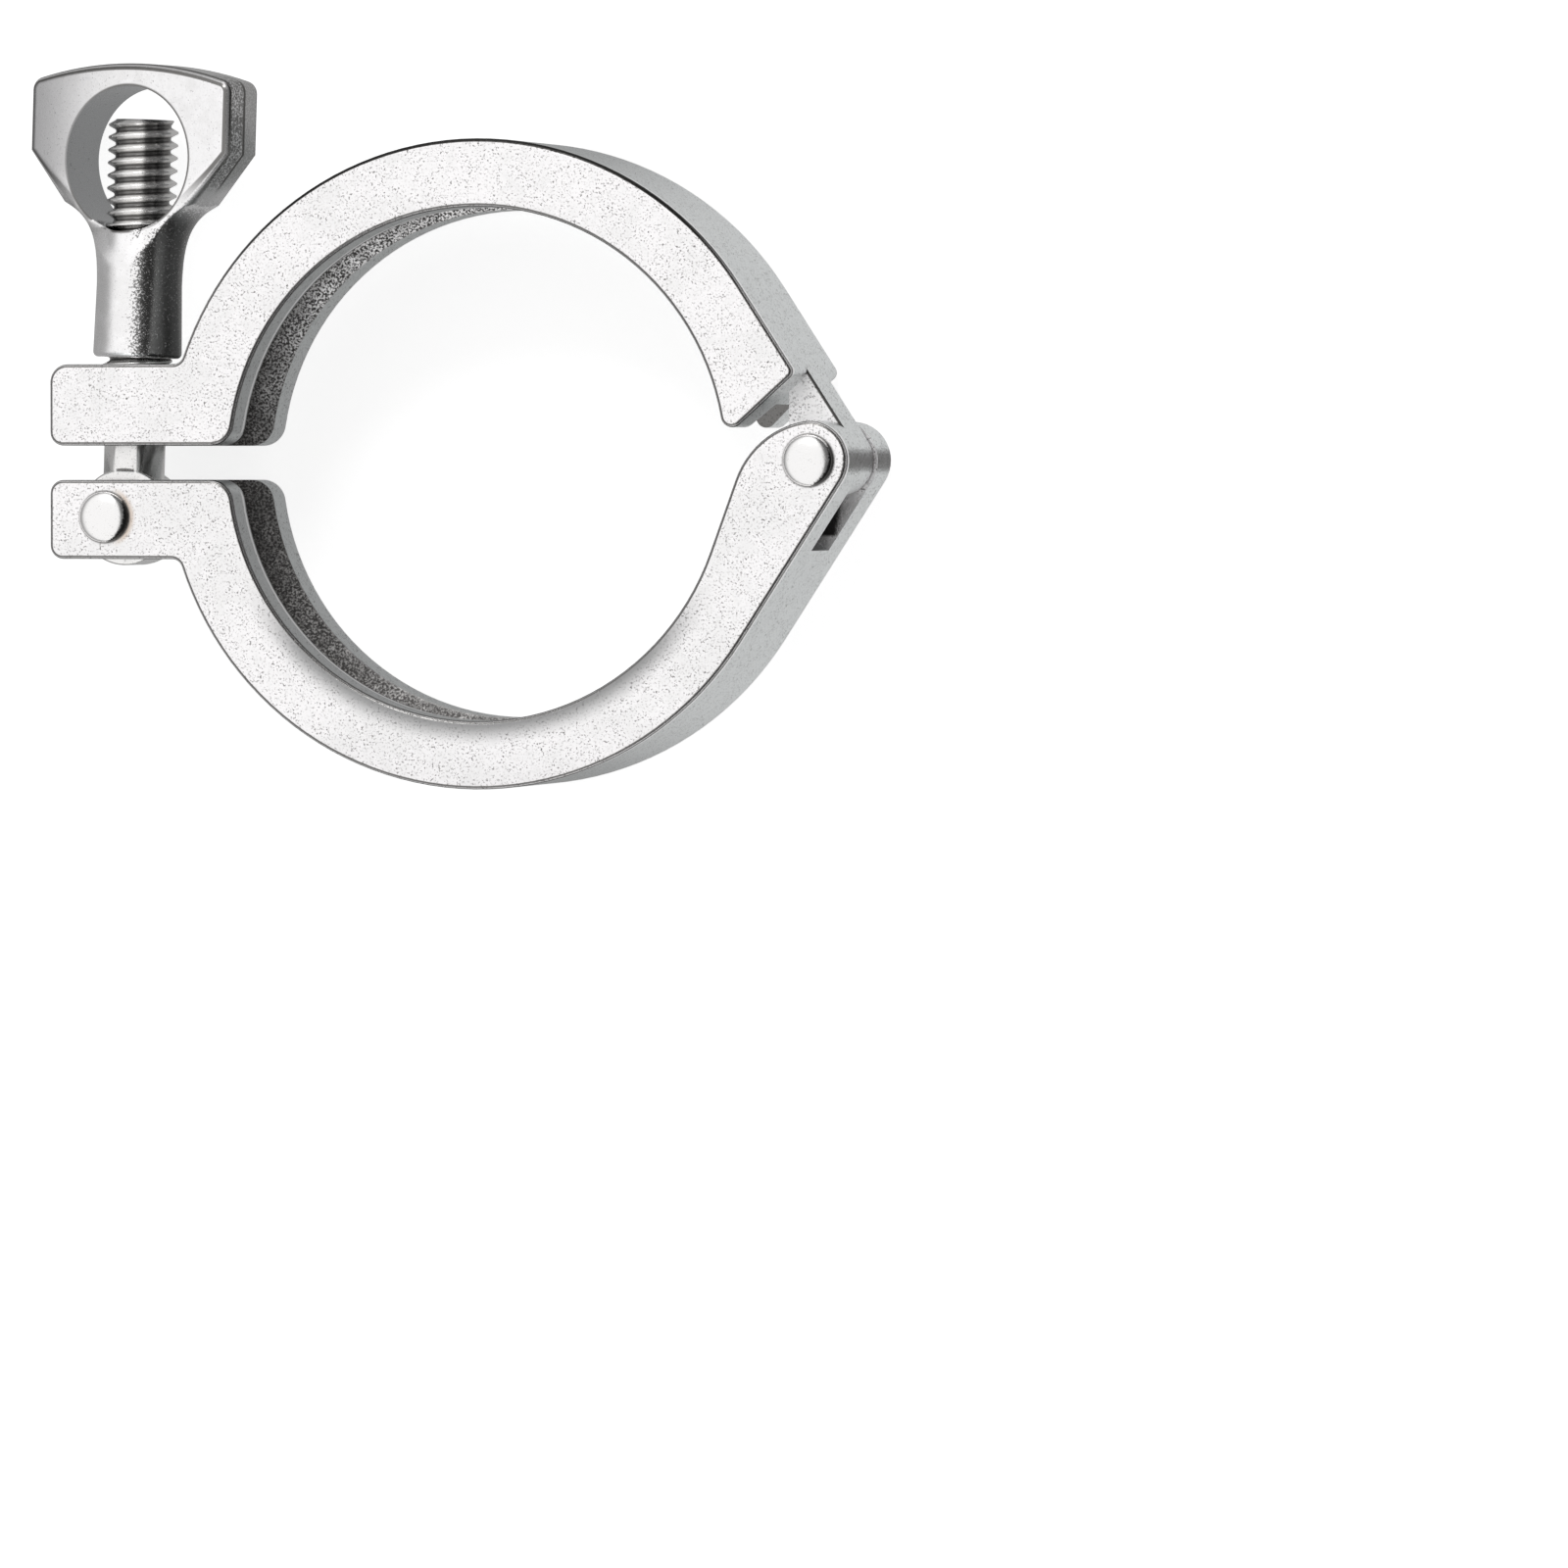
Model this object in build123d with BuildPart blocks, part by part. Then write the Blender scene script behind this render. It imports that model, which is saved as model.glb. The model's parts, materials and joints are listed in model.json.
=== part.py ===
# Hinged clamp that squeezes two sanitary ferrules together.
# Two cast half rings with a V-groove turn on a hinge pin; an eye bolt with a wing nut pulls their lugs shut.
# Origin: centre of the clamping bore at mid-width. +X points to the hinge, +Y to the upper half and the
# wing nut, +Z along the bore. The clamp lies on its back flange faces, and every size is in millimetres.
import os
from math import acos, atan2, cos, degrees, hypot, radians, sin, sqrt, tan

from build123d import *

# Ring section shared by both halves
ring_width = 20.4
bore_radius = 28.2  # inner edge of the flanges, where the ferrule rims lie
groove_depth = 4.8
web_thickness = 2.7
groove_mouth = 10.7  # width of the V-groove at the bore
groove_flank_angle = 20.0  # slope of each flank against the mid-plane
edge_round = 0.5
groove_bottom_round = 0.8

# Lugs that the eye bolt pulls together
lug_reach = 13.4  # from the outer face of the ring to the lug tips
upper_lug_bottom = 2.05
upper_lug_height = 9.0
lower_lug_top = -1.75
lower_lug_height = 8.75
lug_tip_round = 2.0
lug_foot_round = 1.5
lug_root_round = 1.2
jaw_mouth_round = 2.6  # inner corner of each half at the gap
fork_slot_width = 9.5
fork_root_gap = 1.7  # from the thread, or from the eye, to the closed end of its fork
fork_root_round = 0.5

# Hinge
hinge_reach = 2.0  # from the outer face of the ring to the hinge axis
hinge_y = 0.4
ear_radius = 4.3
knuckle_radius = 3.9
tongue_width = 7.0
tongue_side_gap = 0.35
ear_top_angle = 100.0  # where the ear's round end meets its long inner curve
ear_foot_angle = -20.0  # where the ear leaves the bore, straight up along the tangent
ear_slot_depth = 9.0  # from the hinge axis down to the end of the web, along the outer face
upper_end_angle = 5.5  # where the end face of the upper flanges meets the bore
upper_end_slope = 42.0
upper_end_inner_round = 1.3
upper_end_outer_round = 0.9

# Pins, each with a domed head in front and an end peened flush into a countersink behind
pin_radius = 2.1
pin_head_radius = 2.95
pin_head_height = 1.15
pin_head_round = 0.7
peen_depth = 0.8
peen_flare = 0.7
pin_seat_gap = 0.02  # pin in the holes that hold it
pin_running_gap = 0.06  # pin in the part that turns on it

# Eye bolt
bolt_pin_reach = 7.0  # from the outer face of the ring to the pin's axis
bolt_pin_y = -5.85
bolt_lean = 1.8  # how far the bolt stands tipped towards the ring, in its play
eye_radius = 5.4
eye_thickness = 6.4
eye_round = 0.4
shank_radius = 3.4
thread_radius = 3.9
thread_length = 34.0
bolt_length = 44.2  # pin axis to the threaded end
bolt_end_chamfer = 0.6
thread_gap = 0.05

# Wing nut
nut_lift = 0.8  # from the upper lug to the bottom of the nut
nut_turn = -16.0  # how the head stands when the nut is tight
nut_foot_radius = 4.95
nut_waist_radius = 4.75
nut_foot_round = 0.6
nut_waist_height = 8.0
nut_waist_swell = 1.2  # how much wider the turned shape is just below the head
head_shoulder_height = 22.8  # foot to where the sides of the head stand upright
flat_drop = 6.8  # from the shoulders down to where the faces bend out into the shank
neck_drop = 9.8  # from the shoulders down to where the sloping sides meet the shank
neck_round = 7.0
head_side_height = 7.9
head_crown = 2.0  # rise of the curved top
head_width = 26.6
head_thickness = 6.4
head_round = 1.0
head_corner_round = 1.5
eyelet_radius = 8.1
eyelet_drop = 0.7  # from the level of the shoulders to the centre of the round hole

# Places worked out from the sizes above
groove_bottom_radius = bore_radius + groove_depth
outer_radius = groove_bottom_radius + web_thickness
half_width = ring_width / 2
lug_end_x = -outer_radius - lug_reach
bolt_pin_x = -outer_radius - bolt_pin_reach
hinge_x = outer_radius + hinge_reach
upper_lug_top = upper_lug_bottom + upper_lug_height
lower_lug_bottom = lower_lug_top - lower_lug_height
hinge = (hinge_x, hinge_y)
hinge_distance = hypot(hinge_x, hinge_y)
hinge_bearing = degrees(atan2(hinge_y, hinge_x))
ear_slot_width = tongue_width + 2 * tongue_side_gap
nut_foot_height = (upper_lug_top + nut_lift - bolt_pin_y) / cos(radians(bolt_lean))
upright = (sin(radians(bolt_lean)), cos(radians(bolt_lean)), 0)  # direction of the leaning bolt


def on_circle(radius, angle, centre=(0, 0)):
    """Point on a circle in the plane of the clamp, at an angle in degrees from +X."""
    return (centre[0] + radius * cos(radians(angle)), centre[1] + radius * sin(radians(angle)))


def left_on_circle(radius, y):
    """Point on the left side of a circle about the bore, at height y."""
    return (-sqrt(radius**2 - y**2), y)


def tangent_angle(end_radius):
    """Angle off the line of centres where one line touches the ring and a round end at the hinge."""
    return degrees(acos((outer_radius - end_radius) / hinge_distance))


def crossing(point_a, angle_a, point_b, angle_b):
    """Where two lines cross, each given by a point and its direction in degrees."""
    gap_x, gap_y = point_b[0] - point_a[0], point_b[1] - point_a[1]
    turn = sin(radians(angle_b - angle_a))
    along = (gap_x * sin(radians(angle_b)) - gap_y * cos(radians(angle_b))) / turn
    return (point_a[0] + along * cos(radians(angle_a)), point_a[1] + along * sin(radians(angle_a)))


def round_corner(sketch, point, radius):
    """Round the corner of the sketch that lies nearest to a point."""
    fillet(sketch.vertices().sort_by_distance((point[0], point[1], 0))[0], radius)


def cut_vee_groove():
    """Turn the V-groove out of the half ring that is being built."""
    reach = 2.0  # how far the cutter starts inside the bore
    slope = tan(radians(groove_flank_angle))
    bottom = groove_mouth / 2 - (groove_bottom_radius - bore_radius) * slope
    start = groove_mouth / 2 + reach * slope
    with BuildSketch(Plane.XZ) as groove_section:
        with BuildLine():
            Polyline(
                (bore_radius - reach, -start),
                (groove_bottom_radius, -bottom),
                (groove_bottom_radius, bottom),
                (bore_radius - reach, start),
                close=True,
            )
        make_face()
        fillet(groove_section.vertices().group_by(Axis.X)[-1], groove_bottom_round)
    revolve(groove_section.sketch, axis=Axis.Z, mode=Mode.SUBTRACT)


def cut_fork_slot(low_y, high_y, bolt_reach):
    """Open a lug to its tip so that the eye bolt can stand in it and swing out."""
    spare = 2.0
    root_x = bolt_pin_x + bolt_reach + fork_root_gap
    length = root_x - lug_end_x + spare
    with BuildSketch(Plane.XZ.offset(-high_y - spare)) as slot_section:
        with Locations((root_x - length / 2, 0)):
            Rectangle(length, fork_slot_width)
        fillet(slot_section.vertices().group_by(Axis.X)[-1], fork_root_round)
    extrude(slot_section.sketch, amount=high_y - low_y + 2 * spare, mode=Mode.SUBTRACT)


def outline_edges(solid, z):
    """Edges all round the faces that lie at plus and minus z."""
    faces = solid.faces().filter_by(Axis.Z)
    front = faces.filter_by_position(Axis.Z, z - 0.01, z + 0.01)
    back = faces.filter_by_position(Axis.Z, -z - 0.01, -z + 0.01)
    return front.edges() + back.edges()


def drill_pin_hole(x, y):
    """Hole through both cheeks of the lower half, countersunk behind for the peened end."""
    flare = degrees(atan2(peen_flare, peen_depth))
    with Locations(Plane(origin=(x, y, -half_width), z_dir=(0, 0, -1))):
        CounterSinkHole(
            radius=pin_radius + pin_seat_gap,
            counter_sink_radius=pin_radius + peen_flare + pin_seat_gap,
            depth=2 * ring_width,
            counter_sink_angle=2 * flare,
        )


def turn_pin(x, y):
    """Headed pin: domed head in front, end spread into the countersink behind."""
    back = -half_width + pin_seat_gap
    seat = half_width + pin_seat_gap
    with BuildSketch(Plane(origin=(x, y, 0), x_dir=(1, 0, 0), z_dir=(0, -1, 0))) as half_section:
        with BuildLine():
            Polyline(
                (0, back),
                (pin_radius + peen_flare - pin_seat_gap, back),
                (pin_radius, back + peen_depth),
                (pin_radius, seat),
                (pin_head_radius, seat),
                (pin_head_radius, seat + pin_head_height),
                (0, seat + pin_head_height),
                close=True,
            )
        make_face()
        round_corner(half_section, (pin_head_radius, seat + pin_head_height), pin_head_round)
    revolve(half_section.sketch, axis=Axis((x, y, 0), (0, 0, 1)))


# Upper half: forked lug, half ring and the tongue that hangs on the hinge pin
with BuildPart() as upper_half:
    touch = hinge_bearing + tangent_angle(knuckle_radius)
    ring_touch = on_circle(outer_radius, touch)
    knuckle_touch = on_circle(knuckle_radius, touch, hinge)
    end_inner = on_circle(bore_radius, upper_end_angle)
    end_outer = crossing(end_inner, upper_end_slope, ring_touch, touch - 90)
    mouth = left_on_circle(bore_radius, upper_lug_bottom)
    lug_root = left_on_circle(outer_radius, upper_lug_top)
    with BuildSketch() as upper_outline:
        with BuildLine():
            Polyline(mouth, (lug_end_x, upper_lug_bottom), (lug_end_x, upper_lug_top), lug_root)
            ThreePointArc(lug_root, on_circle(outer_radius, 90), ring_touch)
            Polyline(ring_touch, end_outer, end_inner)
            ThreePointArc(end_inner, on_circle(bore_radius, 90), mouth)
        make_face()
        round_corner(upper_outline, (lug_end_x, upper_lug_top), lug_tip_round)
        round_corner(upper_outline, (lug_end_x, upper_lug_bottom), lug_foot_round)
        round_corner(upper_outline, lug_root, lug_root_round)
        round_corner(upper_outline, mouth, jaw_mouth_round)
        round_corner(upper_outline, end_inner, upper_end_inner_round)
        round_corner(upper_outline, end_outer, upper_end_outer_round)
    extrude(amount=half_width, both=True)
    cut_vee_groove()
    fillet(outline_edges(upper_half, half_width), edge_round)
    lean_shift = (upper_lug_top - bolt_pin_y) * tan(radians(bolt_lean))
    cut_fork_slot(upper_lug_bottom, upper_lug_top, lean_shift + thread_radius)

    # Tongue in the middle of the width, from the web down round the hinge pin
    tongue_root = (hinge_x - knuckle_radius, end_outer[1] + upper_end_outer_round)
    with BuildSketch() as tongue_outline:
        with BuildLine():
            Line(ring_touch, knuckle_touch)
            ThreePointArc(
                knuckle_touch,
                on_circle(knuckle_radius, -60, hinge),
                on_circle(knuckle_radius, 180, hinge),
            )
            Polyline(on_circle(knuckle_radius, 180, hinge), tongue_root, ring_touch)
        make_face()
    extrude(amount=tongue_width / 2, both=True)
    with Locations((hinge_x, hinge_y, 0)):
        Hole(pin_radius + pin_running_gap, depth=ring_width)

# Lower half: forked lug, half ring and two ears that carry the hinge pin
with BuildPart() as lower_half:
    touch = hinge_bearing - tangent_angle(ear_radius)
    ring_touch = on_circle(outer_radius, touch)
    ear_touch = on_circle(ear_radius, touch, hinge)
    ear_top = on_circle(ear_radius, ear_top_angle, hinge)
    ear_foot = on_circle(bore_radius, ear_foot_angle)
    neck_corner = crossing(ear_foot, ear_foot_angle + 90, ear_top, ear_top_angle - 90)
    neck_leg = hypot(ear_top[0] - neck_corner[0], ear_top[1] - neck_corner[1])
    ear_neck = on_circle(neck_leg, ear_foot_angle - 90, neck_corner)
    mouth = left_on_circle(bore_radius, lower_lug_top)
    lug_root = left_on_circle(outer_radius, lower_lug_bottom)
    with BuildSketch() as lower_outline:
        with BuildLine():
            Polyline(mouth, (lug_end_x, lower_lug_top), (lug_end_x, lower_lug_bottom), lug_root)
            ThreePointArc(lug_root, on_circle(outer_radius, -90), ring_touch)
            Line(ring_touch, ear_touch)
            ThreePointArc(ear_touch, on_circle(ear_radius, 30, hinge), ear_top)
            TangentArc(ear_neck, ear_top, tangent=on_circle(1, ear_foot_angle + 90))
            Line(ear_neck, ear_foot)
            ThreePointArc(ear_foot, on_circle(bore_radius, -90), mouth)
        make_face()
        round_corner(lower_outline, (lug_end_x, lower_lug_top), lug_foot_round)
        round_corner(lower_outline, (lug_end_x, lower_lug_bottom), lug_foot_round)
        round_corner(lower_outline, lug_root, lug_root_round)
        round_corner(lower_outline, mouth, jaw_mouth_round)
    extrude(amount=half_width, both=True)
    cut_vee_groove()
    fillet(outline_edges(lower_half, half_width), edge_round)
    cut_fork_slot(lower_lug_bottom, lower_lug_top, eye_radius)

    # Slot between the ears, square to the outer face
    slot_over = 2 * ear_radius
    slot_length = ear_slot_depth + slot_over
    slot_middle = on_circle((ear_slot_depth - slot_over) / 2, touch - 90, hinge)
    with BuildSketch():
        with Locations(slot_middle):
            Rectangle(slot_length, 4 * ear_radius, rotation=touch - 90)
    extrude(amount=ear_slot_width / 2, both=True, mode=Mode.SUBTRACT)
    drill_pin_hole(hinge_x, hinge_y)
    drill_pin_hole(bolt_pin_x, bolt_pin_y)

with BuildPart() as hinge_pin:
    turn_pin(hinge_x, hinge_y)

with BuildPart() as bolt_pin:
    turn_pin(bolt_pin_x, bolt_pin_y)

# Eye bolt: flat-sided eye, plain shank, and a thread drawn at its outer diameter
bolt_plane = Plane(origin=(bolt_pin_x, bolt_pin_y, 0), x_dir=(upright[1], -upright[0], 0), z_dir=(0, 0, 1))
bolt_axis = Axis((bolt_pin_x, bolt_pin_y, 0), upright)
with BuildPart() as eye_bolt:
    with Locations(bolt_plane):
        Cylinder(eye_radius, eye_thickness)
    fillet(eye_bolt.edges().filter_by(GeomType.CIRCLE), eye_round)
    with BuildSketch(bolt_plane):
        with BuildLine():
            thread_start = bolt_length - thread_length
            Polyline(
                (0, 0),
                (shank_radius, 0),
                (shank_radius, thread_start - (thread_radius - shank_radius)),
                (thread_radius, thread_start),
                (thread_radius, bolt_length - bolt_end_chamfer),
                (thread_radius - bolt_end_chamfer, bolt_length),
                (0, bolt_length),
                close=True,
            )
        make_face()
    revolve(axis=bolt_axis)
    for side in (1, -1):
        with BuildSketch(bolt_plane.offset(side * eye_thickness / 2)):
            Circle(eye_radius)
        extrude(amount=side * eye_radius, mode=Mode.SUBTRACT)
    with Locations(bolt_plane):
        Hole(pin_radius + pin_running_gap, depth=ring_width)

# Wing nut: a turned blank flattened into a head, with a large round hole for a finger or a bar
with BuildPart() as wing_nut:
    nut_foot = bolt_plane.from_local_coords((0, nut_foot_height, 0))
    across = bolt_plane.x_dir.rotate(bolt_axis, nut_turn)
    facing = bolt_plane.z_dir.rotate(bolt_axis, nut_turn)
    head_plane = Plane(origin=nut_foot, x_dir=across, z_dir=facing)
    side_plane = Plane(origin=nut_foot, x_dir=facing, z_dir=-across)
    foot_plane = Plane(origin=nut_foot, x_dir=across, z_dir=upright)
    head_side = head_width / 2
    head_top = head_shoulder_height + head_side_height
    crown_top = head_top + head_crown
    eyelet_height = head_shoulder_height - eyelet_drop
    flat_height = head_shoulder_height - flat_drop
    neck_height = head_shoulder_height - neck_drop
    blank = nut_foot_radius + nut_foot_round / 2
    with BuildSketch(head_plane) as head_outline:
        with BuildLine():
            Polyline((head_side, head_shoulder_height), (head_side, head_top))
            ThreePointArc((head_side, head_top), (0, crown_top), (-head_side, head_top))
            Polyline(
                (-head_side, head_top),
                (-head_side, head_shoulder_height),
                (-blank, neck_height),
                (-blank, 0),
                (blank, 0),
                (blank, neck_height),
                (head_side, head_shoulder_height),
            )
        make_face()
        fillet(head_outline.vertices().group_by(Axis.Y)[-1], head_corner_round)
        for side in (1, -1):
            round_corner(head_outline, (side * blank, neck_height), neck_round)
    extrude(amount=blank, both=True)

    # Seen from the side, the shank runs into the head in a soft S of two arcs
    head_face = head_thickness / 2
    bend_x, bend_height = (blank + head_face) / 2, (nut_waist_height + flat_height) / 2
    with BuildSketch(side_plane):
        with BuildLine():
            for side in (1, -1):
                Line((side * blank, 0), (side * blank, nut_waist_height))
                TangentArc((side * blank, nut_waist_height), (side * bend_x, bend_height), tangent=(0, 1))
                TangentArc((side * head_face, flat_height), (side * bend_x, bend_height), tangent=(0, -1))
                Line((side * head_face, flat_height), (side * head_face, crown_top))
            Line((-head_face, crown_top), (head_face, crown_top))
            Line((-blank, 0), (blank, 0))
        make_face()
    extrude(amount=head_width, both=True, mode=Mode.INTERSECT)
    rim = wing_nut.edges().filter_by(Axis(nut_foot, facing), reverse=True)
    rim = rim.filter_by(Axis(nut_foot, across), reverse=True)
    fillet(rim, head_round)

    with BuildSketch(head_plane) as shank_section:
        with BuildLine():
            over_top = crown_top + head_crown
            Polyline((0, 0), (nut_foot_radius, 0), (nut_waist_radius, nut_waist_height))
            Spline(
                (nut_waist_radius, nut_waist_height),
                (nut_waist_radius + nut_waist_swell, flat_height - nut_waist_swell),
                (head_width, head_shoulder_height),
                tangents=((0, 1), (1, 1)),
            )
            Polyline((head_width, head_shoulder_height), (head_width, over_top), (0, over_top), (0, 0))
        make_face()
        round_corner(shank_section, (nut_foot_radius, 0), nut_foot_round)
    revolve(axis=bolt_axis, mode=Mode.INTERSECT)

    with BuildSketch(head_plane.offset(-head_thickness)):
        with Locations((0, eyelet_height)):
            Circle(eyelet_radius)
    extrude(amount=2 * head_thickness, mode=Mode.SUBTRACT)
    with BuildSketch(foot_plane):
        Circle(thread_radius + thread_gap)
    extrude(amount=eyelet_height, mode=Mode.SUBTRACT)

os.makedirs("parts", exist_ok=True)
pieces = {
    "upper_half": upper_half,
    "lower_half": lower_half,
    "hinge_pin": hinge_pin,
    "bolt_pin": bolt_pin,
    "eye_bolt": eye_bolt,
    "wing_nut": wing_nut,
}
for name, piece in pieces.items():
    piece.part.label = name
    export_step(piece.part, f"parts/{name}.step")
    box = piece.part.bounding_box()
    print(name, round(piece.part.volume, 1), box.min, box.max, piece.part.is_valid)
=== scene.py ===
import json
from math import cos, pi, radians, sin, tau

import bmesh
import bpy
from mathutils import Matrix, Vector


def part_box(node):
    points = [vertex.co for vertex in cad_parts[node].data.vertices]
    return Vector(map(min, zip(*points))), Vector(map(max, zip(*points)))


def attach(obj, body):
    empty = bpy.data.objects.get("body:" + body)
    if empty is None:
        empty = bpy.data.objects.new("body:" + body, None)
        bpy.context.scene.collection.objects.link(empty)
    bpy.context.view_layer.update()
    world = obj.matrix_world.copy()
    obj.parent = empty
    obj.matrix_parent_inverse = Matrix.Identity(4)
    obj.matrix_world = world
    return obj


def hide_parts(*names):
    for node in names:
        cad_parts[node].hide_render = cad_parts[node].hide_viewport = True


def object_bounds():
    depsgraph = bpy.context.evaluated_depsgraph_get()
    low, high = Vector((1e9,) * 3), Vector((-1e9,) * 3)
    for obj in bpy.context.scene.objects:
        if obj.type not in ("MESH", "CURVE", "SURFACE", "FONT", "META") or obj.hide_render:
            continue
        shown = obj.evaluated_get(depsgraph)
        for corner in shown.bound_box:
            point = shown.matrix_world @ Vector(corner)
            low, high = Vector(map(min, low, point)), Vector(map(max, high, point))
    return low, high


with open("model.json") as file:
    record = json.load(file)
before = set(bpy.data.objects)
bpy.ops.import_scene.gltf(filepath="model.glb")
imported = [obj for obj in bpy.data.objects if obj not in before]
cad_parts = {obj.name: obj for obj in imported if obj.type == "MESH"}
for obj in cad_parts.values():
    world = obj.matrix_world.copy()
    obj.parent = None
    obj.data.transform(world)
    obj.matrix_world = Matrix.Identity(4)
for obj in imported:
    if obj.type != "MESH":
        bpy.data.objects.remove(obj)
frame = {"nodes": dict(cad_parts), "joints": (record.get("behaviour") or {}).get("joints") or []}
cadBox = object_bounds()
nodes = frame["nodes"]
mm = 0.001
print("frame loaded:", ", ".join(sorted(nodes)))


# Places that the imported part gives
joints = {joint["name"]: joint for joint in frame["joints"]}
boltPin = Vector(joints["bolt_swing"]["pos_m"])
hingePin = Vector(joints["upper_open"]["pos_m"])
boltUp = Vector(joints["nut_travel"]["axis"]).normalized()
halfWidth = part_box("lower_half")[1][2]
nutAngle = -16.0  # degrees that the nut has been left turned about its bolt
nutTurn = Matrix.Rotation(radians(nutAngle), 3, boltUp)
nutFacing = nutTurn @ Vector((0, 0, 1))
nutAcross = nutTurn @ boltUp.cross(Vector((0, 0, 1)))


# Small helpers for node trees
def addNode(tree, kind, place, inputs=None, **settings):
    node = tree.nodes.new(kind)
    node.location = place
    for key, value in settings.items():
        setattr(node, key, value)
    fillInputs(tree, node, inputs or {})
    return node


# Each input gets a link or a fixed value
def fillInputs(tree, node, values):
    for key, value in values.items():
        if isinstance(value, bpy.types.NodeSocket):
            tree.links.new(value, node.inputs[key])
        else:
            node.inputs[key].default_value = value


def addMath(tree, operation, place, *values, clamp=False):
    inputs = dict(enumerate(values))
    node = addNode(tree, "ShaderNodeMath", place, inputs, operation=operation, use_clamp=clamp)
    return node.outputs[0]


def addVector(tree, operation, place, inputs):
    node = addNode(tree, "ShaderNodeVectorMath", place, inputs, operation=operation)
    return node.outputs["Value" if operation in ("DOT_PRODUCT", "LENGTH") else "Vector"]


def addRamp(tree, place, source, low, high, lowValue=0.0, highValue=1.0):
    inputs = {"Value": source, "From Min": low, "From Max": high, "To Min": lowValue, "To Max": highValue}
    node = addNode(tree, "ShaderNodeMapRange", place, inputs, interpolation_type="SMOOTHSTEP")
    return node.outputs["Result"]


# Full between two edges, and fading out past both
def addBand(tree, place, source, rising, falling):
    first = addRamp(tree, place, source, *rising)
    second = addRamp(tree, (place[0], place[1] - 150), source, *falling)
    return addMath(tree, "MULTIPLY", (place[0] + 200, place[1]), first, second)


def addMix(tree, place, factor, first, second):
    inputs = {0: factor, 6: first, 7: second}
    return addNode(tree, "ShaderNodeMix", place, inputs, data_type="RGBA").outputs[2]


# Colours laid over each other, each where its mask is full
def addLayers(tree, place, colour, layers):
    for step, (mask, over) in enumerate(layers):
        colour = addMix(tree, (place[0], place[1] + 150 * step), mask, colour, over)
    return colour


# How far a surface looks along a direction of its own piece
def addFacing(tree, place, direction):
    surface = addNode(tree, "ShaderNodeNewGeometry", place)
    turned = addNode(
        tree, "ShaderNodeVectorTransform", (place[0] + 200, place[1]), {0: surface.outputs["Normal"]},
        vector_type="NORMAL", convert_from="WORLD", convert_to="OBJECT",
    )
    return addVector(tree, "DOT_PRODUCT", (place[0] + 400, place[1]), {0: turned.outputs[0], 1: direction})


# Distance in millimetres from the bolt pin along a direction
def addAlong(tree, place, direction):
    coords = addNode(tree, "ShaderNodeTexCoord", place)
    ends = {0: coords.outputs["Object"], 1: boltPin}
    offset = addVector(tree, "SUBTRACT", (place[0] + 200, place[1]), ends)
    return addVector(tree, "DOT_PRODUCT", (place[0] + 400, place[1]), {0: offset, 1: direction * 1000})


# Places in millimetres about an axis that looks to the front: X, Y and Z, and the distance from the axis
def addPolar(group, place, centre=(0.0, 0.0, 0.0)):
    coords = addNode(group, "ShaderNodeTexCoord", place)
    ends = {0: coords.outputs["Object"], 1: centre}
    offset = addVector(group, "SUBTRACT", (place[0] + 150, place[1]), ends)
    inMm = addVector(group, "SCALE", (place[0] + 300, place[1]), {0: offset, "Scale": 1000.0})
    parts = addNode(group, "ShaderNodeSeparateXYZ", (place[0] + 450, place[1]), {0: inMm})
    across = {axis: parts.outputs[axis] for axis in "XY"}
    flat = addNode(group, "ShaderNodeCombineXYZ", (place[0] + 600, place[1]), across)
    return parts.outputs, addVector(group, "LENGTH", (place[0] + 750, place[1]), {0: flat.outputs[0]})


# Two shorthands for one tree: a fade that its dictionary names, and two masks joined
def makeMaskTools(tree, spec, column):
    def ramp(source, name, row):
        return addRamp(tree, (column, row), source, *spec[name])

    def both(first, second, row, operation="MULTIPLY"):
        return addMath(tree, operation, (column + 200, row), first, second)

    return ramp, both


def startGroup(name, inputs, outputs):
    group = bpy.data.node_groups.new(name, "ShaderNodeTree")
    for socketName, kind, value in inputs:
        socket = group.interface.new_socket(socketName, in_out="INPUT", socket_type="NodeSocket" + kind)
        socket.default_value = value
    for socketName in outputs:
        group.interface.new_socket(socketName, in_out="OUTPUT", socket_type="NodeSocketFloat")
    return group, group.nodes.new("NodeGroupInput").outputs, group.nodes.new("NodeGroupOutput")


# Skin of an investment casting: fine pits, a soft orange peel and slow changes of tone
skinSpec = {
    "fine": {"Scale": 4.2, "Detail": 3.0, "Roughness": 0.6},  # scales are waves per millimetre
    "peel": {"Scale": 0.7, "Detail": 4.0, "Roughness": 0.6},
    "slow": {"Scale": 0.12, "Detail": 2.0},
    "pitStart": 0.68,
    "pitSpread": -0.16,  # how much earlier pits start at the full amount
    "pitSharpness": 7.0,
    "patches": (0.36, 0.6, 0.3, 1.0),
    "fineHeight": 0.35,
}


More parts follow.
